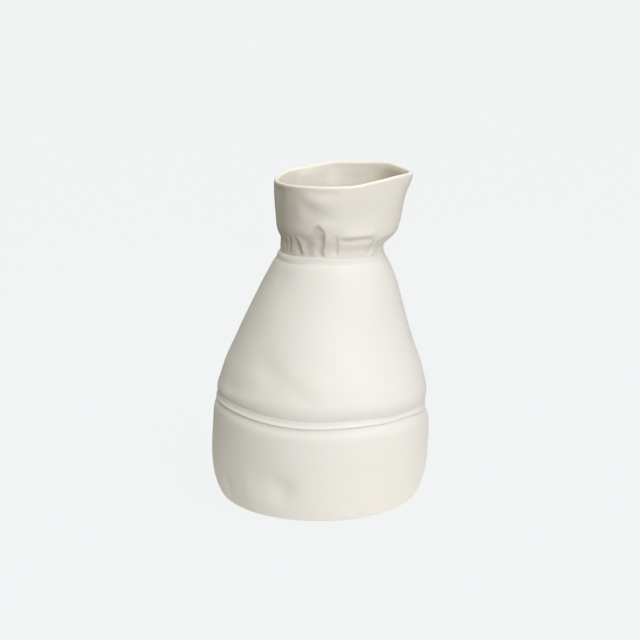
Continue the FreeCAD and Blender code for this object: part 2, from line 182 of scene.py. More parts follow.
@dataclass(frozen=True)
class LipWave:
    """How the lip's height and plan differ from a level circle, in broad waves and in uneven patches."""

    rise_right: float = 3.15
    rise_back: float = 2.3
    end_dip: float = 0.9
    plan: tuple[tuple[int, float], ...] = ((1, -0.07), (2, 0.071), (3, 0.048), (4, 0.016))
    lifts: Loop = Loop((
        (-180, 1.9), (-165, 2), (-150, 1.8), (-135, 1.4), (-120, 0.9), (-105, 0.1), (-90, -0.6), (-75, -1.1),
        (-60, -0.5), (-45, 0), (-30, 0.7), (-15, 0.7), (0, 0.6), (15, 1.4), (30, 2.4), (45, 1.9), (60, 1.1),
        (75, 0.75), (90, 1.15), (105, 1.45), (120, 1.1), (135, 1.7), (150, 2.5), (165, 2.3)))
    pulls: Loop = Loop((
        (-180, 0.3), (-150, 0.2), (-120, 0), (-90, 0), (-60, 0), (-40, -0.2), (-26, -0.3), (-16, 0.5),
        (-8, 1.8), (-2, 2.3), (4, 1.9), (12, 0.6), (22, -0.3), (36, -0.2), (60, 0), (90, 0), (120, 0),
        (150, 0.1)))
    pull_start: float = 0.72

    def stretch(self, turn: np.ndarray) -> np.ndarray:
        """Share by which the plan's radius differs from its mean at each turn in radians."""
        return sum(share * np.cos(waves * turn) for waves, share in self.plan)

    def stand(self, turn: np.ndarray, slope: np.ndarray) -> np.ndarray:
        """How far a level stands over its mean height, in millimetres, by its share of the lip's slope."""
        broad = self.rise_right * np.cos(turn) + self.rise_back * np.sin(turn) - self.end_dip * np.cos(2 * turn)
        return slope * broad + slope**2 * self.lifts.at(np.degrees(turn))

    def pull(self, turn: np.ndarray, share: np.ndarray) -> np.ndarray:
        """How far the pointed end is pulled out, in millimetres, by the share of the collar's height."""
        return step_up(share, self.pull_start, 1.0) * self.pulls.at(np.degrees(turn))


LIP_WAVE = LipWave()


@dataclass(frozen=True)
class SeamWander:
    """The sag of the lower seam, which moves the panels on both sides of it up or down."""

    reach: float = 9.0
    sag: Loop = Loop((
        (-180, -0.8), (-170, -0.4), (-158, 0.7), (-146, 0.9), (-134, 0.4), (-120, -0.3), (-106, -0.7), (-93, -0.2),
        (-82, 0.7), (-71, 1.5), (-60, 1.7), (-48, 1.5), (-38, 2), (-28, 1.5), (-18, 0.3), (0, -0.6), (30, 0.2),
        (60, 0.5), (90, -0.2), (120, -0.6), (150, 0)))

    def lift(self, degrees: np.ndarray, above_seam: np.ndarray) -> np.ndarray:
        """How far a vertex is lifted, in millimetres, from its turn and its height over the seam."""
        return self.sag.at(degrees) * bump(above_seam, self.reach)


SEAM_WANDER = SeamWander()


@dataclass(frozen=True)
class Landmarks:
    """The places and sizes that the pieces share, in millimetres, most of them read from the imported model."""

    floor_lean: float
    floor_low: float
    floor_top: float
    floor_radius: float
    belly_radius: float
    seam_lean: float
    seam_height: float
    seam_radius: float
    seam_tilt: float
    shoulder_radius: float
    neck_lean: float
    neck_height: float
    neck_radius: float
    mouth_height: float
    mouth_radius: float
    wall: float = 3.2
    belly_margin: float = 0.1
    lower_bead: float = 1.4
    neck_bead: float = 0.75
    neck_ledge: float = 0.4
    seam_tuck: float = 1.9
    cuff_belly: float = 0.18
    lip_crest: float = 4.43

    @staticmethod
    def extent(node: str) -> tuple[Vector, Vector]:
        """Lowest and highest corner of a CAD node in millimetres."""
        low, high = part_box(node)
        return low / MM, high / MM

    @classmethod
    def read(cls) -> Landmarks:
        """Reads the landmarks from the boxes of the CAD nodes."""
        floor_low, floor_high = cls.extent("base_floor")
        band_low, band_high = cls.extent("lower_band")
        seam_low, seam_high = cls.extent("lower_seam_welt")
        neck_low, neck_high = cls.extent("neck_seam_welt")
        collar_low, collar_high = cls.extent("gathered_collar")
        seam_radius = (seam_high.y - seam_low.y) / 2 - cls.lower_bead
        tilt_reach = (seam_high.z - seam_low.z) / 2 - cls.lower_bead
        round_trip = np.linspace(0.0, 2 * math.pi, 721)
        waist = ((1.0 + LIP_WAVE.stretch(round_trip)) * np.sin(round_trip)).max()
        return cls(
            floor_lean=(floor_low.x + floor_high.x) / 2,
            floor_low=floor_low.z,
            floor_top=floor_high.z,
            floor_radius=(floor_high.y - floor_low.y) / 2,
            belly_radius=(band_high.y - band_low.y) / 2 - cls.belly_margin,
            seam_lean=(seam_low.x + seam_high.x) / 2,
            seam_height=(seam_low.z + seam_high.z) / 2,
            seam_radius=seam_radius,
            seam_tilt=math.asin(tilt_reach / seam_radius),
            shoulder_radius=seam_radius + cls.seam_tuck,
            neck_lean=(neck_low.x + neck_high.x) / 2,
            neck_height=(neck_low.z + neck_high.z) / 2,
            neck_radius=(neck_high.y - neck_low.y) / 2 - cls.neck_bead - cls.neck_ledge,
            mouth_height=collar_high.z - cls.lip_crest,
            mouth_radius=((collar_high.y - collar_low.y) / 2 - cls.cuff_belly) / float(waist),
        )


@dataclass(frozen=True)
class Stretch:
    """A stretch of a wall's height: where it ends, as a share of the height, and how many rows it gets."""

    end: float
    rows: int


@dataclass(frozen=True)
class Cloud:
    """The vertices of a blank: turn about the axis, share of the height, and depth from outer to inner face."""

    turn: np.ndarray
    share: np.ndarray
    depth: np.ndarray

    @property
    def degrees(self) -> np.ndarray:
        """The turn in degrees, where -90 is the front and 0 the right."""
        return np.degrees(self.turn)


@dataclass(frozen=True)
class Blank:
    """A flat sheet that is wrapped round a wall's section and round the axis, and then sculpted."""

    sides: int
    outer: tuple[Stretch, ...]
    inner: tuple[Stretch, ...]
    top_rows: int
    bottom_rows: int = 0

    @staticmethod
    def _climb(stretches: tuple[Stretch, ...]) -> list[float]:
        """Height shares of the rows of one face, from the bottom up."""
        shares = [0.0]
        for stretch in stretches:
            start = shares[-1]
            shares += [between(start, stretch.end, row / stretch.rows) for row in range(1, stretch.rows + 1)]
        return shares

    def section(self) -> tuple[np.ndarray, np.ndarray]:
        """The rows round the wall's section: height share and depth of each."""
        rows = [(share, 0.0) for share in self._climb(self.outer)]
        rows += [(1.0, row / self.top_rows) for row in range(1, self.top_rows)]
        rows += [(share, 1.0) for share in reversed(self._climb(self.inner))]
        rows += [(0.0, 1.0 - row / self.bottom_rows) for row in range(1, self.bottom_rows + 1)]
        shares, depths = np.array(rows).T
        return shares, depths

    def build(self) -> tuple[bpy.types.Mesh, Cloud]:
        """Makes the sheet.

        Returns:
            The sheet's mesh and the place that each of its vertices takes on the wall.
        """
        shares, depths = self.section()
        last = len(shares) - 1
        shape = bmesh.new()
        bmesh.ops.create_grid(shape, x_segments=self.sides, y_segments=last, size=0.5)
        mesh = mesh_from(shape, "blank")
        x, y, _ = vertex_places(mesh).T
        row = np.rint((y + 0.5) * last).astype(int)
        return mesh, Cloud(2 * math.pi * (x + 0.5), shares[row], depths[row])


@dataclass(frozen=True)
class Surface:
    """The outer face under the sculptor's tools: turn in degrees, height and radius in millimetres."""

    degrees: np.ndarray
    height: np.ndarray
    radius: np.ndarray

    def across(self, angle: float) -> np.ndarray:
        """Distance along the surface from the given angle, in millimetres."""
        return np.radians(half_turn(self.degrees - angle)) * self.radius


@dataclass(frozen=True)
class Dent:
    """A soft hollow, or a soft swelling if its depth is negative."""

    angle: float
    height: float
    half_wide: float
    half_high: float
    depth: float
    slant: float = 0.0

    def relief(self, surface: Surface) -> np.ndarray:
        """Outward shift of the surface in millimetres."""
        across = surface.across(self.angle)
        above = surface.height - self.height
        cosine = math.cos(math.radians(self.slant))
        sine = math.sin(math.radians(self.slant))
        along = (across * cosine + above * sine) / self.half_wide
        over = (above * cosine - across * sine) / self.half_high
        return -self.depth * np.exp(-(along**2 + over**2))


class Side(Enum):
    """The side of a crease on which its ridge stands, seen along its path."""

    LEFT = -1.0
    RIGHT = 1.0


@dataclass(frozen=True)
class Line:
    """A path on the surface, as (angle, height) points, with the smooth distance to it."""

    points: Pairs
    fade_start: float = 2.0
    fade_end: float = 2.0
    grain: int = 8

    def measure(self, surface: Surface) -> tuple[np.ndarray, np.ndarray]:
        """Measures every vertex against the path.

        Args:
            surface: The face that the path lies on.

        Returns:
            The signed distance in millimetres, positive on the right for one who travels the path upright on the
            surface, and the strength along the path, which fades at its ends.
        """
        first = self.points[0][0]
        reach = float(np.median(surface.radius))
        x = [math.radians(half_turn(angle - first)) * reach for angle, _ in self.points]
        z = [height for _, height in self.points]
        knots = [0.0]
        for number in range(1, len(x)):
            knots.append(knots[-1] + math.hypot(x[number] - x[number - 1], z[number] - z[number - 1]))
        fine = np.linspace(0.0, knots[-1], self.grain * (len(knots) - 1) + 1)
        path_x = Spline(knots, x).at(fine)
        path_z = Spline(knots, z).at(fine)
        across = np.radians(half_turn(surface.degrees - first)) * reach
        nearest = np.full(across.shape, np.inf)
        side = np.zeros(across.shape)
        travel = np.zeros(across.shape)
        for number in range(len(fine) - 1):
            run_x = path_x[number + 1] - path_x[number]
            run_z = path_z[number + 1] - path_z[number]
            length = math.hypot(run_x, run_z)
            off_x = across - path_x[number]
            off_z = surface.height - path_z[number]
            share = (off_x * run_x + off_z * run_z) / length**2
            held = np.clip(share, 0.0, 1.0)
            away = np.hypot(off_x - held * run_x, off_z - held * run_z)
            closer = away < nearest
            nearest = np.where(closer, away, nearest)
            side = np.where(closer, (off_x * run_z - off_z * run_x) / length, side)
            travel = np.where(closer, fine[number] + held * length, travel)
        strength = step_up(travel, 0.0, self.fade_start) * step_up(knots[-1] - travel, 0.0, self.fade_end)
        return np.where(side >= 0, nearest, -nearest), strength


@dataclass(frozen=True)
class Crease:
    """A fold's edge: a soft hollow whose floor lies beside the line, and a steep rise to a ridge at the line."""

    line: Line
    steep: float
    soft: float
    depth: float
    ridge: float = 0.0
    ridge_side: Side = Side.LEFT
    floor: float = 0.0

    # In steep widths: where the rise starts and ends, where the crest stands, and its reach on either side.
    rise = (-0.4, 1.6)
    crest_place = 2.0
    crest_reach = (1.4, 3.5)

    def relief(self, surface: Surface) -> np.ndarray:
        """Outward shift of the surface in millimetres."""
        away, strength = self.line.measure(surface)
        towards = away * self.ridge_side.value
        hollow = np.where(towards > -self.floor, bump(towards + self.floor, 2 * self.soft),
                          bump(towards + self.floor, self.soft))
        past = step_up(towards, self.rise[0] * self.steep, self.rise[1] * self.steep)
        beyond = towards - self.crest_place * self.steep
        near, far = (bump(beyond, reach * self.steep) for reach in self.crest_reach)
        crest = self.ridge * np.where(beyond > 0, far, near)
        return strength * (crest - self.depth * hollow * (1.0 - past))


@dataclass(frozen=True)
class Overhang:
    """A fold that hangs over its lower edge: it swells above the line and is cut in below it."""

    line: Line
    lift: float
    cut: float
    above: float
    below: float
    edge: float

    def relief(self, surface: Surface) -> np.ndarray:
        """Outward shift of the surface in millimetres."""
        away, strength = self.line.measure(surface)
        over = 0.5 * (1.0 + np.tanh(-away / self.edge))
        swell = self.lift * over * bump(away, self.above)
        notch = self.cut * (1.0 - over) * bump(away, self.below)
        return strength * (swell - notch)


@dataclass(frozen=True)
class Ripple:
    """The faint unevenness of a cast, hand-finished wall: a few long waves of fixed phase."""

    size: float
    seed: int
    waves: int = 9
    most_lobes: int = 6
    longest: float = 95.0
    shortest: float = 26.0

    def relief(self, surface: Surface) -> np.ndarray:
        """Outward shift of the surface in millimetres."""
        draw = np.random.default_rng(self.seed)
        turn = np.radians(surface.degrees)
        shift = np.zeros(surface.height.shape)
        for _ in range(self.waves):
            length = draw.uniform(self.shortest, self.longest)
            lobes = draw.integers(1, self.most_lobes + 1)
            phase, rise = draw.uniform(0.0, 2 * math.pi, 2)
            shift += np.sin(lobes * turn + phase) * np.sin(2 * math.pi * surface.height / length + rise)
        return self.size * shift / math.sqrt(self.waves)


Tool = Dent | Crease | Overhang | Ripple


def total_relief(surface: Surface, tools: list[Tool]) -> np.ndarray:
    """Outward shift of the surface under all the tools together, in millimetres."""
    return sum((tool.relief(surface) for tool in tools), np.zeros(surface.height.shape))


def crease_shading(surface: Surface, tools: list[Tool]) -> np.ndarray:
    """The depth of the creases alone, which the finish paints as shade in the creases, in millimetres."""
    return total_relief(surface, [tool for tool in tools if isinstance(tool, Crease)])


@dataclass(frozen=True)
class Station:
    """One level of a wall, in millimetres: height, outer radius, sideways place, tilt share and wall thickness."""

    height: float
    radius: float
    lean: float
    tilt: float
    wall: float


class Column:
    """A wall's outline from its lowest to its highest station."""

    # The share of a mark on the outer face that doesn't show on the inner one.
    inner_loss = 0.6

    def __init__(self, stations: list[Station]) -> None:
        """Lays smooth curves through the stations."""
        heights = [station.height for station in stations]
        self.low = heights[0]
        self.high = heights[-1]
        self.radius = Spline(heights, [station.radius for station in stations])
        self.lean = Spline(heights, [station.lean for station in stations])
        self.tilt = Spline(heights, [station.tilt for station in stations])
        self.wall = Spline(heights, [station.wall for station in stations])

    def height(self, share: np.ndarray) -> np.ndarray:
        """Height at a share of the way up."""
        return self.low + share * (self.high - self.low)


@dataclass
class Piece:
    """A piece on its way from a sculpted mesh to an object on the vase."""

    name: str
    mesh: bpy.types.Mesh
    points: np.ndarray
    # Crease depth with painted light and shade, which the finish turns into colour.
    relief: np.ndarray

    def place(self, node: str, slot: Slot, material: bpy.types.Material) -> bpy.types.Object:
        """Closes the mesh, scales it to metres and puts it on the vase.

        Args:
            node: The CAD node that the piece stands for.
            slot: The record's material slot; not used.
            material: The piece's finish.

        Returns:
            The new object.
        """
        self.mesh.vertices.foreach_set("co", (self.points * MM).astype(np.float32).ravel())
        layer = self.mesh.attributes.new(RELIEF, "FLOAT", "POINT")
        layer.data.foreach_set("value", self.relief.astype(np.float32))
        shape = bmesh.new()
        shape.from_mesh(self.mesh)
        bmesh.ops.remove_doubles(shape, verts=shape.verts[:], dist=WELD * MM)
        bmesh.ops.recalc_face_normals(shape, faces=shape.faces[:])
        for face in shape.faces:
            face.smooth = True
        shape.to_mesh(self.mesh)
        shape.free()
        self.mesh.name = self.name
        self.mesh.materials.append(material)
        made = add_object(self.name, self.mesh)
        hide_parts(node)
        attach(made, BODY)
        LOG.info("%s: %d faces", self.name, len(self.mesh.polygons))
        return made


def sculpt_wall(
        cloud: Cloud, column: Column, marks: Landmarks, tools: list[Tool]) -> tuple[np.ndarray, np.ndarray]:
    """Shapes a blank into a round wall.

    Args:
        cloud: The blank's vertices.
        column: The wall's outline.
        marks: The vase's landmarks.
        tools: Dents, creases and the like that mark the outer face, and more faintly the inner one.

    Returns:
        The vertices' places in millimetres and the depth of the creases at each of them, which the finish paints as
        shade.
    """
    height = column.height(cloud.share)
    radius = column.radius.at(height)
    surface = Surface(cloud.degrees, height, radius)
    felt = 1.0 - column.inner_loss * cloud.depth
    radius = radius + total_relief(surface, tools) * felt - cloud.depth * column.wall.at(height)
    points = wrap(radius, cloud.turn, column.tilt.at(height) * marks.seam_tilt)
    points[:, 0] += column.lean.at(height)
    points[:, 2] += height + SEAM_WANDER.lift(cloud.degrees, height - marks.seam_height)
    return points, crease_shading(surface, tools)


@dataclass
class BaseFloor:
    """The floor inside the foot, with a soft fillet where it meets the wall."""

    marks: Landmarks
    dish: float = 0.5
    tuck: float = 0.5
    fillet: float = 2.0
    sides: int = 240

    def build(self, material: bpy.types.Material) -> bpy.types.Object:
        """Makes the floor as a spun slab whose underside is slightly dished."""
        marks = self.marks
        rim = marks.floor_radius + self.tuck
        low, high = marks.floor_low, marks.floor_top
        # Half the slab's outline, as (out, up) points from the middle of its underside to that of its top.
        section = [
            (0.0, low + self.dish), (0.55 * rim, low + 0.8 * self.dish), (rim - 3 * self.fillet, low + 0.1),
            (rim - self.fillet, low), (rim - 0.5 * self.fillet, low - 0.15 * self.fillet),
            (rim - 1.2, low - 0.6), (rim - 0.6, between(low, high, 0.5)), (rim, high - 0.2),
            (rim - self.fillet, high), (0.0, high)]
        shape = bmesh.new()
        verts = [shape.verts.new((x, 0.0, z)) for x, z in section]
        for first, second in zip(verts, verts[1:]):
            shape.edges.new((first, second))
        bmesh.ops.spin(
            shape, geom=shape.verts[:] + shape.edges[:], cent=(0, 0, 0), axis=(0, 0, 1),
            angle=2 * math.pi, steps=self.sides, use_merge=True)
        bmesh.ops.translate(shape, verts=shape.verts[:], vec=(marks.floor_lean, 0.0, 0.0))
        bmesh.ops.remove_doubles(shape, verts=shape.verts[:], dist=0.001)
        mesh = mesh_from(shape, "floor_disc")
        piece = Piece("floor_disc", mesh, vertex_places(mesh), np.zeros(len(mesh.vertices)))
        return piece.place("base_floor", Slot.BISQUE, material)


@dataclass
class LowerBand:
    """The puffed band between the ground and the lower seam."""

    marks: Landmarks
    foot_radius: float = 64.0
    foot_round: float = 0.9
    foot_share: float = 0.03
    foot_flat: float = 0.3

    # Rings: height share from the ground to the seam, radius share from the foot out to the belly, lean share from
    # the foot to the seam, tilt share and wall share.
    ring_shares = (
        (0, 0, 0, 0, 1.2), (0.022, 0.285, 0, 0, 1.4), (0.046, 0.42, 0, 0, 1.3),
        (0.101, 0.578, 0.02, 0, 1.16), (0.182, 0.755, 0.1, 0, 1.06), (0.319, 0.92, 0.3, 0, 1.02),
        (0.512, 1, 0.4, 0.15, 1), (0.705, 1, 0.7, 0.45, 1), (0.850, 0.944, 0.9, 0.8, 1),
        (0.939, 0.828, 1, 1, 1.02), (0.979, 0.685, 1, 1, 1.02), (1, 0.60, 1, 1, 1),
        (1.017, 0.53, 1, 1, 1))

    def stations(self) -> list[Station]:
        """The band's levels from the ground to the seam."""
        marks = self.marks
        top = marks.seam_height - marks.lower_bead
        return [
            Station(
                share * top, between(self.foot_radius, marks.belly_radius, out),
                between(marks.floor_lean, marks.seam_lean, lean), tilt, wall * marks.wall)
            for share, out, lean, tilt, wall in self.ring_shares]

    def tools(self) -> list[Tool]:
        """The marks on the band's outer face."""
        return [
            Ripple(0.16, seed=11),
            Dent(-110, 20.5, 9, 9, 1.8, slant=-25),
            Dent(-109, 26.5, 9, 5, 0.7, slant=-12),
            Dent(-129, 19, 6.5, 12, -0.8),
            Dent(-147, 15, 6.5, 8, 1.25),
            Dent(-101, 66.7, 48, 3.2, -2.2),
            Dent(-150, 62.5, 30, 3.2, -0.25),
            Dent(-38, 66.2, 19, 2.8, -0.9),
            Dent(-75, 15, 16, 4.5, 0.35, slant=-8),
            Dent(-60, 40, 24, 14, -0.25),
            Dent(-4, 61.5, 22, 3.6, 0.6),
            Dent(180, 42, 36, 15, 0.55),
            Dent(35, 28, 18, 12, 0.5, slant=25),
            Dent(98, 22, 15, 9, 0.6, slant=-20),
            Dent(160, 36, 20, 12, 0.4),
        ]

    def build(self, material: bpy.types.Material) -> bpy.types.Object:
        """Makes the band and rounds the two edges of its foot."""
        blank = Blank(
            640, outer=(Stretch(0.06, 6), Stretch(0.85, 45), Stretch(1.0, 25)),
            inner=(Stretch(0.06, 4), Stretch(0.85, 15), Stretch(1.0, 6)), top_rows=3, bottom_rows=6)
        mesh, cloud = blank.build()
        points, relief = sculpt_wall(cloud, Column(self.stations()), self.marks, self.tools())
        near_face = step_up(np.abs(cloud.depth - 0.5) * 2.0, self.foot_flat, 1.0)
        lift = self.foot_round * bump(points[:, 2], self.foot_round) * near_face
        points[:, 2] += lift * (cloud.share < self.foot_share)
        return Piece("puffed_band", mesh, points, relief).place("lower_band", Slot.BISQUE, material)


@dataclass
class TaperedShoulder:
    """The tall panel between the lower seam and the neck."""

    marks: Landmarks

    # Rings: height share from seam to neck, radius share from the neck out to the shoulder, share of the lean from
    # seam to neck, tilt share and wall share.
    ring_shares = (
        (-0.01, 0.949, 0, 1, 1), (0.013, 0.963, 0.02, 1, 1.02), (0.035, 0.976, 0.04, 0.95, 1.02),
        (0.062, 0.985, 0.08, 0.75, 1), (0.095, 0.979, 0.11, 0.55, 1), (0.142, 0.944, 0.15, 0.4, 1.03),
        (0.232, 0.871, 0.19, 0.25, 1.06), (0.352, 0.749, 0.25, 0.15, 1.08), (0.531, 0.563, 0.40, 0.05, 1.08),
        (0.730, 0.368, 0.70, 0, 1.08), (0.879, 0.204, 0.91, 0, 1.1), (0.919, 0.154, 0.94, 0, 1.11),
        (0.959, 0.097, 0.97, 0, 1.12), (1, 0.012, 1, 0, 1.1))

    def stations(self) -> list[Station]:
        """The panel's levels from the seam to the neck."""
        marks = self.marks
        low = marks.seam_height + marks.lower_bead
        high = marks.neck_height - marks.neck_bead
        return [
            Station(
                between(low, high, share), between(marks.neck_radius, marks.shoulder_radius, out),
                between(marks.seam_lean, marks.neck_lean, lean), tilt, wall * marks.wall)
            for share, out, lean, tilt, wall in self.ring_shares]

    def tools(self) -> list[Tool]:
        """The marks on the panel's outer face."""
        return [
            Ripple(0.2, seed=23),
            Dent(180, 78.5, 34, 3.5, 0.35),
            Dent(-100, 74.8, 42, 4.2, 0.35),
            Dent(-122, 96, 13, 8.5, 1.05, slant=-38),
            Dent(-104, 87, 14, 5, 0.42, slant=-35),
            Dent(-139, 154, 7, 7, 0.4),
            Dent(-150, 82, 7, 6, 0.4),
            Dent(-70, 118, 20, 24, -0.3),
            Dent(20, 110, 20, 16, 0.5, slant=30),
            Dent(70, 90, 24, 10, 0.6, slant=-25),
            Dent(130, 125, 16, 14, 0.5, slant=20),
        ]

    def build(self, material: bpy.types.Material) -> bpy.types.Object:
        """Makes the panel."""
        blank = Blank(
            600, outer=(Stretch(0.12, 21), Stretch(0.86, 61), Stretch(1.0, 19)),
            inner=(Stretch(0.12, 5), Stretch(0.86, 19), Stretch(1.0, 6)), top_rows=2, bottom_rows=2)
        mesh, cloud = blank.build()
        points, relief = sculpt_wall(cloud, Column(self.stations()), self.marks, self.tools())
        return Piece("tapered_shoulder", mesh, points, relief).place("shoulder_cone", Slot.BISQUE, material)


@dataclass(frozen=True)
class BeadSection:
    """Outline of a seam's bead outside the wall, as (out, up) points from its lower to its upper end."""

    full: Pairs
    faint: Pairs

    def outline(self, share: np.ndarray, strength: np.ndarray) -> tuple[np.ndarray, np.ndarray]:
        """Places on the outline.

        Args:
            share: How far along the outline each vertex lies, from 0 to 1.
            strength: 1 where the bead is full and 0 where it is faint.

        Returns:
            How far out and how far up each vertex lies, in millimetres.
        """
        places = np.linspace(0.0, 1.0, len(self.full))
        full_out, full_up = (Spline(places, values).at(share) for values in zip(*self.full))
        faint_out, faint_up = (Spline(places, values).at(share) for values in zip(*self.faint))
        return between(faint_out, full_out, strength), between(faint_up, full_up, strength)


@dataclass
class SeamBead:
    """The raised bead of a seam, with the hidden web that it grows from.

    A faint span has its middle and reach in degrees of turn, and the share of the fullness that it takes away.
    """

    name: str
    node: str
    radius: float
    height: float
    lean: float
    tilt: float
    web_half: float
    section: BeadSection
    faint_spans: tuple[tuple[float, float, float], ...]
    ripple: Ripple
    wanders: bool
    web_depth: float = 3.1
    # Strength of the painted highlight along the bead's crest, and its reach.
    crest_highlight: float = 0.5
    crest_reach: float = 0.3
    sides: int = 720

    def strength(self, degrees: np.ndarray) -> np.ndarray:
        """How full the bead is round the vase."""
        left = np.ones(degrees.shape)
        for middle, reach, share in self.faint_spans:
            left *= 1.0 - share * bump(half_turn(degrees - middle), reach)
        return left

    def build(self, material: bpy.types.Material) -> bpy.types.Object:
        """Makes the bead round its seam."""
        blank = Blank(
            self.sides, outer=(Stretch(1.0, 27),), inner=(Stretch(1.0, 2),), top_rows=2, bottom_rows=2)
        mesh, cloud = blank.build()
        strength = self.strength(cloud.degrees)
        out, up = self.section.outline(cloud.share, strength)
        web_up = (cloud.share * 2.0 - 1.0) * self.web_half
        out = between(out, -self.web_depth, cloud.depth)
        up = between(up, web_up, cloud.depth)
        ring = Surface(cloud.degrees, np.full(out.shape, self.height), np.full(out.shape, self.radius))
        radius = self.radius + out + self.ripple.relief(ring) * (1.0 - cloud.depth)
        points = wrap(radius, cloud.turn, self.tilt)
        points[:, 0] += self.lean + up * math.sin(self.tilt)
        points[:, 2] += self.height + up * math.cos(self.tilt)
        if self.wanders:
            points[:, 2] += SEAM_WANDER.lift(cloud.degrees, up)
        # Painted highlight along the bead's crest, on its outer face only.
        crest = self.crest_highlight * strength * bump(cloud.share - 0.5, self.crest_reach)
        relief = np.where(cloud.depth > 0, 0.0, crest)
        return Piece(self.name, mesh, points, relief).place(self.node, Slot.BISQUE, material)


LOWER_BEAD = BeadSection(
    full=((-0.6, -2.1), (1.0, -1.95), (1.95, -1.35), (2.32, -0.6), (1.85, 0.4), (1.35, 1.5), (1.0, 2.9),
          (0.55, 4.8)),
    faint=((-0.6, -1.6), (0.5, -1.2), (0.95, -0.8), (1.15, -0.2), (1.12, 0.4), (0.88, 1.2), (0.55, 2.3),
           (0.2, 4.0)))

NECK_BEAD = BeadSection(
    full=((2.7, -3.7), (2.35, -3.0), (2.12, -2.4), (2.0, -1.7), (1.85, -1.0), (1.55, -0.2), (1.0, 0.7),
          (-0.6, 1.8)),
    faint=((2.6, -4.0), (2.2, -3.3), (1.75, -2.5), (1.3, -1.6), (0.9, -0.7), (0.5, 0.3), (0.15, 1.4),
           (-0.5, 2.6)))


def lower_seam(marks: Landmarks) -> SeamBead:
    """The bead of the lower seam, full at the front left and faint towards the right."""
    return SeamBead(
        "seam_bead", "lower_seam_welt", marks.seam_radius, marks.seam_height, marks.seam_lean, marks.seam_tilt,
        web_half=marks.lower_bead, section=LOWER_BEAD,
        faint_spans=((-90, 34, 0.25), (-45, 16, 0.75), (-176, 16, 0.6), (-8, 16, 0.9), (75, 22, 0.5),
                     (140, 16, 0.4)),
        ripple=Ripple(0.08, seed=5), wanders=True)


def neck_seam(marks: Landmarks) -> SeamBead:
    """The bead of the neck seam, full at the left and sunk into the ledge at the front and right."""
    return SeamBead(
        "neck_bead", "neck_seam_welt", marks.neck_radius, marks.neck_height, marks.neck_lean, 0.0,
        web_half=marks.neck_bead, section=NECK_BEAD,
        faint_spans=((-105, 26, 1), (-65, 30, 1), (-25, 30, 1), (10, 24, 0.8), (70, 30, 0.7)),
        ripple=Ripple(0.07, seed=7), wanders=False, sides=540)


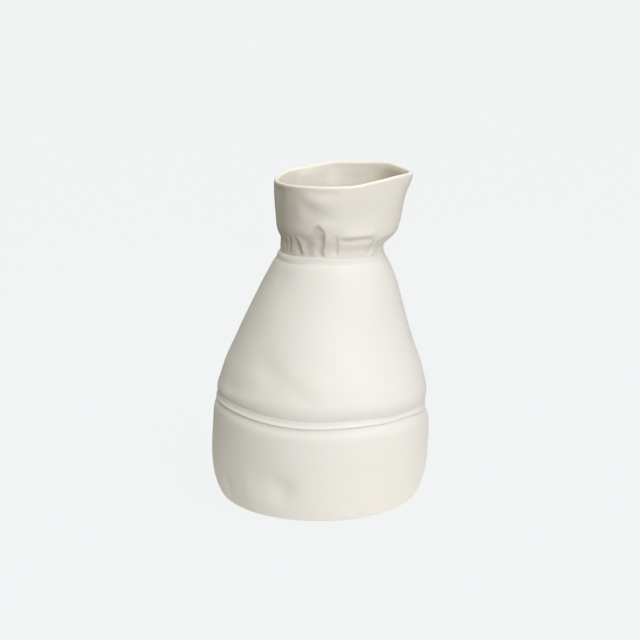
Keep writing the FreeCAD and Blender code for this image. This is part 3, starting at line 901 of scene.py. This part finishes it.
@dataclass
class GatheredCollar:
    """The cuff over the neck: gathered at its foot, folded over on the right and open at an uneven oval lip.

    The shade at the left is painted shade: a warmer, darker tone on the outer face at the left, away from the lamps.
    Inside the mouth painted light makes the wall pale between the two lit steps, and a patch of painted shade has
    its middle and reach in degrees of turn, and its strength.
    """

    marks: Landmarks
    mouth_lean: float = 15.3
    foot_tuck: float = 0.6
    lip_calm: float = 0.93
    inner_loss: float = 0.7
    left_shade_strength: float = 0.75
    shade_turn: float = -150.0
    shade_reach: float = 26.0
    # Painted light on the inner wall that faces the front, and patches of painted shade inside.
    painted_light: float = 0.9
    lit_steps: Pairs = ((38.0, 52.0), (98.0, 114.0))
    shade_patches: tuple[tuple[float, float, float], ...] = ((12.0, 27.0, 1.9), (138.0, 22.0, 0.5))
    sides: int = 720

    # Rings: height share from the neck seam to the lip, radius share from neck to mouth, lean share, plan share
    # and slope share.
    ring_shares = (
        (0, 0, 0, 0, 0), (0.06, -0.03, 0.05, 0, 0), (0.14, 0, 0.13, 0.05, 0.02),
        (0.21, 0.22, 0.40, 0.2, 0.06), (0.29, 0.53, 0.55, 0.4, 0.12), (0.40, 0.72, 0.62, 0.6, 0.25),
        (0.56, 0.80, 0.72, 0.8, 0.45), (0.76, 0.93, 0.84, 0.9, 0.75), (1, 1, 1, 1, 1))

    def curves(self) -> list[Spline]:
        """The collar's mean radius, lean, plan share and slope share, by the share of its height."""
        marks = self.marks
        shares, out, lean, plan, slope = np.array(self.ring_shares).T
        radii = between(marks.neck_radius, marks.mouth_radius, out)
        leans = between(marks.neck_lean, self.mouth_lean, lean)
        return [Spline(shares, values) for values in (radii, leans, plan, slope)]

    def front_gathers(self) -> list[Tool]:
        """The creases, hollows and folds that show at the front, from left to right."""
        left = ((-152, 184), (-152.7, 179), (-152.2, 174.6), (-148.5, 168.8))
        second = ((-142, 184), (-143.5, 178.5), (-144, 174.7), (-141.8, 168.8))
        slanting = ((-138.5, 183.5), (-135.2, 180.1), (-133, 177.5), (-129.2, 174), (-124, 169))
        soft = ((-121, 181), (-118.5, 176.5), (-112.5, 169))
        hook = ((-114.5, 191.5), (-109.8, 189.1), (-106.7, 186.7), (-105.1, 182.8), (-105.2, 178))
        stem = ((-105.2, 186.5), (-105.1, 181), (-103.9, 176.5), (-99.4, 168.5))
        thin = ((-92, 185), (-90.5, 179), (-86.3, 173.8), (-84.4, 168.8))
        fold = ((-93, 182.2), (-85.7, 181.5), (-77.2, 181), (-71.2, 181.1), (-62.1, 181.2), (-53.6, 181),
                (-49, 180.8))
        right_fold = ((-47, 177.8), (-38.2, 178.7), (-29.7, 178.9), (-12, 178.4))
        right = ((-46.1, 181), (-46.7, 177.4), (-44.7, 173.3), (-47, 167.8))
        return [
            Crease(Line(left, 5), 0.7, 1.5, 0.7, 0.1, floor=0.6),
            Crease(Line(second, 5), 0.7, 1.6, 0.8, 0.1, floor=0.6),
            Crease(Line(slanting, 4), 0.8, 2.2, 0.95, 0.25, floor=1),
            Dent(-127, 180.6, 6, 3, 1.5, slant=-8),
            Crease(Line(soft, 5), 1.8, 2.6, 0.45, 0.1, floor=1.4),
            Crease(Line(hook, 3, 6), 1.1, 6, 0.8, 0.3, floor=1.4),
            Crease(Line(stem, 6), 0.75, 2.4, 0.95, 0.15, floor=0.9),
            Crease(Line(thin, 5, 3), 0.45, 2.2, 0.55, floor=0.4),
            Dent(-94.5, 182, 3, 2, 0.35),
            Overhang(Line(fold, 9, 5), 1, 2.3, 4.5, 3, 1.3),
            Overhang(Line(right_fold, 4, 8), 0.6, 1.2, 4, 3, 1),
            Crease(Line(right, 3), 0.7, 2.4, 0.55, 0.45, floor=0.6),
            Dent(-28, 172, 3, 6, 0.35),
        ]

    def back_gathers(self) -> list[Tool]:
        """The creases round the sides and the back, which lean either way."""
        spots = (
            (-14, 1, 0.7, 180), (4, -2, 0.9, 182), (21, 2.5, 0.6, 179), (40, -1.5, 1.1, 184),
            (61, 3, 0.7, 181), (83, -3, 1.2, 185), (104, 2, 0.7, 180), (127, -2, 1, 183),
            (149, 2.5, 0.7, 180), (171, 1.5, 0.7, 181))
        made = []
        for number, (angle, lean, depth, top) in enumerate(spots):
            side = Side.LEFT if number % 2 else Side.RIGHT
            line = Line(((angle - lean, top), (angle, 176), (angle + lean, 168)), 5)
            made.append(Crease(line, 1.3, 2.6, depth, 0.3, side))
        return made

    def soft_marks(self) -> list[Tool]:
        """The soft creases and swellings of the cuff above the gathers."""
        sweep = ((-131, 215.5), (-128, 211), (-124, 206.8), (-117.5, 203.2), (-109.9, 199.6), (-97, 198.4),
                 (-84, 199.4))
        return [
            Ripple(0.22, seed=31),
            Crease(Line(sweep, 6, 26), 2.6, 4.6, 0.4, 0.34, floor=0.8),
            Dent(-157, 203, 5, 18, 0.8),
            Dent(-129, 203, 5, 13, -0.85),
            Dent(-110, 207, 7, 4, -0.4, slant=-20),
            Dent(-129, 192.5, 3, 3, 0.2),
            Dent(-111, 213, 13, 3.6, 0.5),
            Dent(-103, 190.5, 6, 2.6, -0.35),
            Dent(100, 200, 14, 9, 0.7, slant=20),
            Dent(160, 192, 12, 10, 0.5, slant=-25),
            Dent(20, 198, 12, 9, 0.4),
        ]

    def inner_marks(self) -> list[Tool]:
        """The folds that show on the inner face through the mouth."""
        return [
            Crease(Line(((128, 219), (134, 208), (142, 196)), 3, 8), 3, 8, 1),
            Dent(75, 214, 6, 4, 0.6),
        ]

    def outer_tools(self) -> list[Tool]:
        """All the marks on the collar's outer face."""
        return self.front_gathers() + self.back_gathers() + self.soft_marks()

    def reach(self) -> tuple[float, float]:
        """Heights of the wall's foot and of the lip's edges, before the lip's slope."""
        marks = self.marks
        return marks.neck_height + marks.neck_bead - self.foot_tuck, marks.mouth_height - marks.wall / 2

    def calm(self, share: np.ndarray) -> np.ndarray:
        """What is left of a mark at a share of the height: all of it, fading to nothing at the lip."""
        return 1.0 - step_up(share, self.lip_calm, 1.0)

    def shift(self, surface: Surface, depth: np.ndarray, share: np.ndarray) -> np.ndarray:
        """How far the marks move a vertex outwards.

        Args:
            surface: The outer face at each vertex.
            depth: The vertex's depth in the wall, from the outer face (0) to the inner one (1).
            share: The vertex's share of the collar's height.

        Returns:
            The shift in millimetres, which fades out at the lip.
        """
        outer = total_relief(surface, self.outer_tools())
        inner = total_relief(surface, self.inner_marks())
        return (outer * (1.0 - self.inner_loss * depth) + inner * depth) * self.calm(share)

    def inner_light_and_shade(self, degrees: np.ndarray) -> np.ndarray:
        """Painted light and shade inside, as a relief: painted shade in the pinched right end, painted light on the
        wall that faces the front.
        """
        rise, fall = (step_up(half_turn(degrees), *ends) for ends in self.lit_steps)
        painted_shade = sum(strength * bump(half_turn(degrees - middle), reach)
                   for middle, reach, strength in self.shade_patches)
        return self.painted_light * rise * (1.0 - fall) - painted_shade

    def build(self, material: bpy.types.Material) -> bpy.types.Object:
        """Makes the collar with its rounded lip."""
        marks = self.marks
        blank = Blank(
            self.sides, outer=(Stretch(0.48, 56), Stretch(1.0, 30)), inner=(Stretch(0.4, 11), Stretch(1.0, 17)),
            top_rows=10, bottom_rows=2)
        mesh, cloud = blank.build()
        level, depth = cloud.share, cloud.depth
        mean, lean, plan, slope = (curve.at(level) for curve in self.curves())
        foot, top = self.reach()
        height = foot + level * (top - foot)
        surface = Surface(cloud.degrees, height, np.full(height.shape, marks.neck_radius))
        at_lip = level >= 1.0
        rolled = (1.0 - np.cos(math.pi * depth)) / 2
        inset = np.where(at_lip, rolled, depth) * marks.wall
        crown = np.where(at_lip, np.sin(math.pi * depth) * marks.wall / 2, 0.0)
        radius = mean * (1.0 + plan * LIP_WAVE.stretch(cloud.turn))
        radius = radius + self.shift(surface, depth, level) - inset + LIP_WAVE.pull(cloud.turn, level)
        points = wrap(radius, cloud.turn, 0.0)
        points[:, 0] += lean
        points[:, 2] += height + LIP_WAVE.stand(cloud.turn, slope) + crown
        # Painted shade on the left of the outer face and in the creases, and painted light and shade on the inner
        # face.
        left_shade = self.left_shade_strength * bump(half_turn(cloud.degrees - self.shade_turn), self.shade_reach)
        tone_and_shading = (crease_shading(surface, self.outer_tools()) - left_shade) * (1.0 - depth)
        tone_and_shading += self.inner_light_and_shade(cloud.degrees) * depth * self.calm(level)
        return Piece("cuffed_collar", mesh, points, tone_and_shading).place("gathered_collar", Slot.BISQUE, material)


@dataclass
class GlazeLining:
    """The thin glaze that lines the inside, from the floor to just under the lip.

    From the edge start up, as a share of the height, the film thins and sinks into the wall. The collar's folds
    and its painted light and shade come in over the first shares of the collar's height.
    """

    marks: Landmarks
    bond: float = 0.05
    thick: float = 0.45
    bare_lip: float = 2.4
    edge_start: float = 0.95
    thinning: float = 0.75
    sink: float = 0.4
    floor_share: float = 0.2
    lowest_ring: int = 3
    folds_in: float = 0.04
    shading_in: float = 0.3
    sides: int = 300

    def rings(self) -> list[tuple[float, float, float, float, float, float]]:
        """The inner face's levels: height, radius, lean, tilt share, plan share and slope share."""
        marks = self.marks
        made = []
        for station in LowerBand(marks).stations()[self.lowest_ring:] + TaperedShoulder(marks).stations():
            made.append((station.height, station.radius - station.wall, station.lean, station.tilt, 0.0, 0.0))
        collar = GatheredCollar(marks)
        foot, top = collar.reach()
        for share, out, lean, plan, slope in collar.ring_shares[1:]:
            height = between(foot, top, share)
            radius = between(marks.neck_radius, marks.mouth_radius, out) - marks.wall
            made.append((height, radius, between(marks.neck_lean, collar.mouth_lean, lean), 0.0, plan, slope))
        return made

    def build(self, material: bpy.types.Material) -> bpy.types.Object:
        """Makes the lining as a cup with a closed floor and a feathered upper edge."""
        marks = self.marks
        heights, *outline = zip(*self.rings())
        radius, lean, tilt, plan, slope = (Spline(heights, values) for values in outline)
        rows = (Stretch(self.floor_share, 7), Stretch(1.0, 90))
        mesh, cloud = Blank(self.sides, outer=rows, inner=rows, top_rows=2).build()
        up = np.clip((cloud.share - self.floor_share) / (1.0 - self.floor_share), 0.0, 1.0)
        out = np.clip(cloud.share / self.floor_share, 0.0, 1.0)
        height = between(heights[0], heights[-1] - self.bare_lip, up)
        edge = step_up(up, self.edge_start, 1.0)
        film = (self.bond + cloud.depth * self.thick) * (1.0 - self.thinning * edge) - self.sink * edge
        collar = GatheredCollar(marks)
        foot, top = collar.reach()
        level = (height - foot) / (top - foot)
        wall = Surface(cloud.degrees, height, np.full(height.shape, marks.neck_radius))
        marked = collar.shift(wall, np.ones(height.shape), level) * step_up(level, 0.0, self.folds_in)
        stretch = plan.at(height) * LIP_WAVE.stretch(cloud.turn) * (radius.at(height) + marks.wall)
        pulled = LIP_WAVE.pull(cloud.turn, level)
        reach = (radius.at(height) + stretch + marked + pulled - film) * out
        points = wrap(reach, cloud.turn, tilt.at(height) * marks.seam_tilt)
        points[:, 0] += lean.at(height)
        points[:, 2] += height + LIP_WAVE.stand(cloud.turn, slope.at(height)) + film * (1.0 - up)
        # Painted light and shade on the inner wall, as on the collar's inner face.
        tone_and_shading = collar.inner_light_and_shade(cloud.degrees) * step_up(level, 0.0, self.shading_in)
        return Piece("glaze_lining", mesh, points, tone_and_shading).place("inner_glaze", Slot.GLAZE, material)



class Nodes:
    """Adds and links nodes of one node tree."""

    def __init__(self, tree: bpy.types.NodeTree) -> None:
        """Starts on an empty tree."""
        self.tree = tree
        tree.nodes.clear()

    def add(self, kind: str, links: dict | None = None, **settings: object) -> bpy.types.Node:
        """Adds a node.

        Args:
            kind: The node's type.
            links: For each input, by name or number, a value or the output that feeds it.
            settings: The node's own options.

        Returns:
            The new node.
        """
        node = self.tree.nodes.new(kind)
        for option, value in settings.items():
            setattr(node, option, value)
        for key, value in (links or {}).items():
            if isinstance(value, bpy.types.NodeSocket):
                self.tree.links.new(value, node.inputs[key])
            else:
                node.inputs[key].default_value = value
        return node

    def calculate(self, operation: str, *values: object) -> bpy.types.NodeSocket:
        """The result of one operation on values or outputs."""
        return self.add("ShaderNodeMath", dict(enumerate(values)), operation=operation).outputs[0]

    def noise(self, links: dict) -> bpy.types.NodeSocket:
        """A soft noise with the given inputs."""
        return self.add("ShaderNodeTexNoise", links).outputs["Fac"]

    def remap(self, value: bpy.types.NodeSocket, ends: tuple[float, float],
              results: tuple[float, float] = (0.0, 1.0)) -> bpy.types.NodeSocket:
        """A value carried from one range to another and held inside it."""
        links = {"Value": value, "From Min": ends[0], "From Max": ends[1], "To Min": results[0],
                 "To Max": results[1]}
        return self.add("ShaderNodeMapRange", links, clamp=True).outputs[0]

    def blend(self, share: object, first: object, second: object) -> bpy.types.NodeSocket:
        """A colour that goes from the first to the second with the share."""
        links = {"Factor": share, "A": first, "B": second}
        return self.add("ShaderNodeMix", links, data_type="RGBA").outputs["Result"]

    def mix(self, share: object, first: bpy.types.Node, second: bpy.types.Node) -> bpy.types.Node:
        """A shader that goes from the first to the second with the share."""
        return self.add("ShaderNodeMixShader", {0: share, 1: first.outputs[0], 2: second.outputs[0]})


VECTOR, FLOAT, COLOR = "NodeSocketVector", "NodeSocketFloat", "NodeSocketColor"
GRAIN_SCALE, SWELL_SCALE, PORE_SCALE, MOTTLE_SCALE = 1900.0, 95.0, 700.0, 22.0
PORE_EDGE = (0.05, 0.16)
PORE_DEPTH = -0.35
MOTTLE_EDGE = (0.4, 0.62)
# Relief ranges over which the finish paints shade into creases and a highlight onto ridges.
CREASE_SHADE_RELIEF = (-0.25, -1.6)
HIGHLIGHT_RELIEF = (0.15, 0.9)


def shader_group(name: str, sockets: tuple[tuple, ...]) -> Nodes:
    """Makes an empty shader node group.

    Args:
        name: The group's name.
        sockets: Name, INPUT or OUTPUT, kind and, where there is one, usual value of each socket.

    Returns:
        The group's nodes.
    """
    group = bpy.data.node_groups.new(name, "ShaderNodeTree")
    for title, way, kind, *usual in sockets:
        socket = group.interface.new_socket(name=title, in_out=way, socket_type=kind)
        if usual:
            socket.default_value = usual[0]
    return Nodes(group)


def cast_grain_group() -> bpy.types.NodeTree:
    """The fine grain of cast porcelain: a height for a bump, and a mask of its tiny pores."""
    nodes = shader_group("cast grain", (
        ("Vector", "INPUT", VECTOR), ("Grain", "INPUT", FLOAT, 1.0), ("Swell", "INPUT", FLOAT, 1.0),
        ("Height", "OUTPUT", FLOAT), ("Pores", "OUTPUT", FLOAT)))
    given = nodes.add("NodeGroupInput").outputs
    fine = nodes.noise({"Vector": given["Vector"], "Scale": GRAIN_SCALE, "Detail": 3.0})
    soft = nodes.noise({"Vector": given["Vector"], "Scale": SWELL_SCALE, "Detail": 2.0})
    pores = nodes.add("ShaderNodeTexVoronoi", {"Vector": given["Vector"], "Scale": PORE_SCALE})
    pits = nodes.remap(pores.outputs["Distance"], PORE_EDGE, (1.0, 0.0))
    rough = nodes.calculate("MULTIPLY", fine, given["Grain"])
    waves = nodes.calculate("MULTIPLY", soft, given["Swell"])
    both = nodes.calculate("ADD", rough, waves)
    deep = nodes.calculate("MULTIPLY_ADD", pits, PORE_DEPTH, both)
    nodes.add("NodeGroupOutput", {"Height": deep, "Pores": pits})
    return nodes.tree


def tone_and_shading_group() -> bpy.types.NodeTree:
    """The clay's colour and faint mottle, with painted shade where the relief is sunk and painted light where it is
    raised.
    """
    nodes = shader_group("clay tone and painted shading", (
        ("Vector", "INPUT", VECTOR), ("Relief", "INPUT", FLOAT, 0.0), ("Clay", "INPUT", COLOR, (0.8, 0.8, 0.8, 1.0)),
        ("Mottle", "INPUT", COLOR, (0.8, 0.8, 0.8, 1.0)), ("Crease", "INPUT", COLOR, (0.6, 0.6, 0.6, 1.0)),
        ("Ridge", "INPUT", COLOR, (0.9, 0.9, 0.9, 1.0)), ("Color", "OUTPUT", COLOR),
        ("Crease Mask", "OUTPUT", FLOAT)))
    given = nodes.add("NodeGroupInput").outputs
    cloud = nodes.noise({"Vector": given["Vector"], "Scale": MOTTLE_SCALE, "Detail": 3.0, "Roughness": 0.55})
    base = nodes.blend(nodes.remap(cloud, MOTTLE_EDGE), given["Clay"], given["Mottle"])
    # Painted shade: a warmer, darker colour where the relief is sunk, as in creases.
    crease_shade_share = nodes.remap(given["Relief"], CREASE_SHADE_RELIEF)
    painted_shade = nodes.blend(crease_shade_share, base, given["Crease"])
    # Painted highlight: a paler colour where the relief is raised, as on ridges and bead crests.
    with_highlight = nodes.blend(nodes.remap(given["Relief"], HIGHLIGHT_RELIEF), painted_shade, given["Ridge"])
    nodes.add("NodeGroupOutput", {"Color": with_highlight, "Crease Mask": crease_shade_share})
    return nodes.tree


@dataclass(frozen=True)
class Porcelain:
    """A porcelain finish: its tones as linear colours, its gloss and the strength of its grain."""

    name: str
    clay: Color
    mottle: Color
    # The crease colour is painted shade for sunk relief, and the ridge colour is painted light for raised relief.
    crease_shade: Color
    ridge: Color
    smooth_roughness: float
    grain_roughness: float
    grain: float
    swell: float
    bump_depth: float
    coat: float
    glow: float
    grain_heights: tuple[float, float] = (0.4, 1.6)
    bump_strength: float = 0.35
    refraction: float = 1.5
    shine: float = 0.35
    coat_roughness: float = 0.12
    glow_tint: tuple[float, float, float] = (1.0, 0.8, 0.55)
    glow_reach: float = 0.0015

    def make(self, grain: bpy.types.NodeTree, tone_and_shading: bpy.types.NodeTree) -> bpy.types.Material:
        """Builds the material from the shared groups.

        Args:
            grain: The cast grain group.
            tone_and_shading: The group of the clay tone with its painted shade and highlights.

        Returns:
            The finished material.
        """
        material = bpy.data.materials.new(self.name)
        material.use_nodes = True
        nodes = Nodes(material.node_tree)
        place = nodes.add("ShaderNodeTexCoord").outputs["Object"]
        relief = nodes.add("ShaderNodeAttribute", attribute_name=RELIEF).outputs["Fac"]
        cast = nodes.add(
            "ShaderNodeGroup", {"Vector": place, "Grain": self.grain, "Swell": self.swell}, node_tree=grain)
        clay = nodes.add(
            "ShaderNodeGroup",
            {"Vector": place, "Relief": relief, "Clay": self.clay, "Mottle": self.mottle, "Crease": self.crease_shade,
             "Ridge": self.ridge}, node_tree=tone_and_shading)
        height = cast.outputs["Height"]
        rough = nodes.remap(height, self.grain_heights, (self.smooth_roughness, self.grain_roughness))
        surface = nodes.add(
            "ShaderNodeBump",
            {"Height": height, "Strength": self.bump_strength, "Distance": self.bump_depth * MM})
        shader = nodes.add(
            "ShaderNodeBsdfPrincipled",
            {"Base Color": clay.outputs["Color"], "Roughness": rough, "Normal": surface.outputs["Normal"],
             "IOR": self.refraction, "Specular IOR Level": self.shine, "Coat Weight": self.coat,
             "Coat Roughness": self.coat_roughness, "Subsurface Weight": self.glow,
             "Subsurface Radius": self.glow_tint, "Subsurface Scale": self.glow_reach})
        nodes.add("ShaderNodeOutputMaterial", {"Surface": shader.outputs["BSDF"]})
        return material


# Its crease colour is painted shade, and its ridge colour is the painted highlight on the bead crests and crease
# ridges.
BISQUE = Porcelain(
    name="satin bisque porcelain",
    clay=(0.84, 0.822, 0.775, 1.0), mottle=(0.828, 0.808, 0.754, 1.0), crease_shade=(0.62, 0.55, 0.45, 1.0),
    ridge=(0.87, 0.858, 0.82, 1.0), smooth_roughness=0.52, grain_roughness=0.66, grain=1.0, swell=0.6,
    bump_depth=0.12, coat=0.0, glow=0.12)

# A shaded copy of the bisque for the collar: the warmer, yellower clay is painted shade, and the paler ridge colour
# is painted light inside the mouth and on ridges.
COLLAR_SHADING_BISQUE = replace(
    BISQUE, name="satin bisque porcelain with painted collar shading", clay=(0.85, 0.82, 0.742, 1.0), mottle=(0.838, 0.804, 0.718, 1.0),
    ridge=(0.935, 0.9, 0.83, 1.0))

# Its crease colour is painted shade in the pinched end, and its ridge colour is painted light on the inner wall that
# faces the front.
GLAZE = Porcelain(
    name="clear glaze over porcelain",
    clay=(0.835, 0.795, 0.715, 1.0), mottle=(0.815, 0.77, 0.68, 1.0), crease_shade=(0.6, 0.55, 0.45, 1.0),
    ridge=(0.94, 0.905, 0.835, 1.0), smooth_roughness=0.36, grain_roughness=0.44, grain=0.15, swell=0.8,
    bump_depth=0.1, coat=0.12, glow=0.08)


@dataclass(frozen=True)
class Lamp:
    """A large soft studio light, placed by its direction from the vase."""

    name: str
    azimuth: float
    elevation: float
    power: float
    color: tuple[float, float, float]
    distance: float = 1.6
    wide: float = 1.2
    high: float = 1.2

    def make(self, target: Vector) -> bpy.types.Object:
        """Puts the light in the scene, facing the target.

        Args:
            target: The point that it lights.

        Returns:
            The light's object.
        """
        turn = math.radians(self.azimuth)
        lift = math.radians(self.elevation)
        way = Vector((math.sin(turn) * math.cos(lift), -math.cos(turn) * math.cos(lift), math.sin(lift)))
        data = bpy.data.lights.new(self.name, "AREA")
        data.shape = "RECTANGLE"
        data.size = self.wide
        data.size_y = self.high
        data.energy = self.power
        data.color = self.color
        lamp = add_object(self.name, data)
        lamp.location = target + way * self.distance
        lamp.rotation_mode = "QUATERNION"
        lamp.rotation_quaternion = (-way).to_track_quat("-Z", "Y")
        return lamp


@dataclass
class Studio:
    """The pale floor, the soft lights and the camera."""

    backdrop: Color = (0.8796, 0.8963, 0.9047, 1.0)
    overhead: Color = (1.0, 0.985, 0.9, 1.0)
    overhead_strength: float = 1.8
    floor_half: float = 40.0
    floor_paper: Color = (0.9, 0.9, 0.9, 1.0)
    floor_matte: float = 0.03
    floor_glow: float = 1.0
    bounce: Color = (1.0, 0.965, 0.88, 1.0)
    near_bounce: float = 0.74
    near_reach: float = 0.22
    right_bounce: float = 0.31
    target: Vector = field(default_factory=lambda: Vector((0.0, 0.0, 0.11)))
    lamps: tuple[Lamp, ...] = (
        Lamp("front", 15.0, 8.0, 13.4, (0.965, 0.965, 1.0)),
        Lamp("right", 45.0, 40.0, 7.8, (0.86, 0.89, 1.0)),
    )
    camera_place: tuple[float, float, float] = (0.0, -0.917, 0.3445)
    camera_pitch: float = 76.2
    camera_lens: float = 78.75
    sensor: float = 36.0

    def floor(self) -> None:
        """Lays the pale floor: as bright as the backdrop to the camera, and a soft bounce to the vase."""
        shape = bmesh.new()
        bmesh.ops.create_grid(shape, x_segments=1, y_segments=1, size=self.floor_half)
        mesh = mesh_from(shape, "studio_floor")
        material = bpy.data.materials.new("pale studio floor")
        material.use_nodes = True
        nodes = Nodes(material.node_tree)
        paper = nodes.add("ShaderNodeBsdfDiffuse", {"Color": self.floor_paper})
        bright = nodes.add("ShaderNodeEmission", {"Color": self.backdrop, "Strength": self.floor_glow})
        place = nodes.add("ShaderNodeTexCoord").outputs["Object"]
        away = nodes.add("ShaderNodeVectorMath", {0: place}, operation="LENGTH").outputs["Value"]
        way = nodes.add("ShaderNodeVectorMath", {0: place}, operation="NORMALIZE").outputs[0]
        rightward = nodes.add("ShaderNodeSeparateXYZ", {0: way}).outputs["X"]
        share = nodes.calculate("DIVIDE", away, self.near_reach)
        square = nodes.calculate("MULTIPLY", share, share)
        fall = nodes.calculate("EXPONENT", nodes.calculate("SUBTRACT", 0.0, square))
        half = 0.5 * self.right_bounce
        right = nodes.calculate("MULTIPLY_ADD", rightward, half, half)
        strength = nodes.calculate("MULTIPLY_ADD", fall, self.near_bounce, right)
        dim = nodes.add("ShaderNodeEmission", {"Color": self.bounce, "Strength": strength})
        seen = nodes.add("ShaderNodeLightPath").outputs["Is Camera Ray"]
        both = nodes.mix(self.floor_matte, nodes.mix(seen, dim, bright), paper)
        nodes.add("ShaderNodeOutputMaterial", {"Surface": both.outputs[0]})
        mesh.materials.append(material)
        add_object("studio_floor", mesh)

    def world(self) -> None:
        """Surrounds the vase with soft light from above and shows the camera the plain backdrop."""
        surroundings = bpy.data.worlds.new("studio surround")
        surroundings.use_nodes = True
        bpy.context.scene.world = surroundings
        nodes = Nodes(surroundings.node_tree)
        place = nodes.add("ShaderNodeTexCoord").outputs["Generated"]
        upward = nodes.add("ShaderNodeSeparateXYZ", {0: place}).outputs["Z"]
        above = nodes.calculate("MAXIMUM", upward, 0.0)
        square = nodes.calculate("MULTIPLY", above, above)
        strength = nodes.calculate("MULTIPLY", square, self.overhead_strength)
        glow = nodes.add("ShaderNodeBackground", {"Color": self.overhead, "Strength": strength})
        plain = nodes.add("ShaderNodeBackground", {"Color": self.backdrop, "Strength": 1.0})
        seen = nodes.add("ShaderNodeLightPath").outputs["Is Camera Ray"]
        nodes.add("ShaderNodeOutputWorld", {"Surface": nodes.mix(seen, glow, plain).outputs[0]})

    def camera(self) -> None:
        """Sets the camera at the photograph's viewing angle."""
        data = bpy.data.cameras.new("camera")
        data.lens = self.camera_lens
        data.sensor_width = self.sensor
        made = add_object("camera", data)
        made.location = self.camera_place
        made.rotation_euler = (math.radians(self.camera_pitch), 0.0, 0.0)
        bpy.context.scene.camera = made

    def build(self) -> None:
        """Makes the whole studio."""
        self.floor()
        self.world()
        for lamp in self.lamps:
            lamp.make(self.target)
        self.camera()
        bpy.context.scene.view_settings.view_transform = "Standard"


def main() -> None:
    """Builds the vase from the ground up, and then the studio round it."""
    logging.basicConfig(level=logging.INFO, format="%(name)s: %(message)s")
    marks = Landmarks.read()
    LOG.info("%s", marks)
    grain = cast_grain_group()
    tone_and_shading = tone_and_shading_group()
    bisque = BISQUE.make(grain, tone_and_shading)
    collar_shading_bisque = COLLAR_SHADING_BISQUE.make(grain, tone_and_shading)
    glaze = GLAZE.make(grain, tone_and_shading)
    BaseFloor(marks).build(bisque)
    LowerBand(marks).build(bisque)
    lower_seam(marks).build(bisque)
    TaperedShoulder(marks).build(bisque)
    neck_seam(marks).build(bisque)
    GatheredCollar(marks).build(collar_shading_bisque)
    GlazeLining(marks).build(glaze)
    Studio().build()


if __name__ == "__main__":
    main()
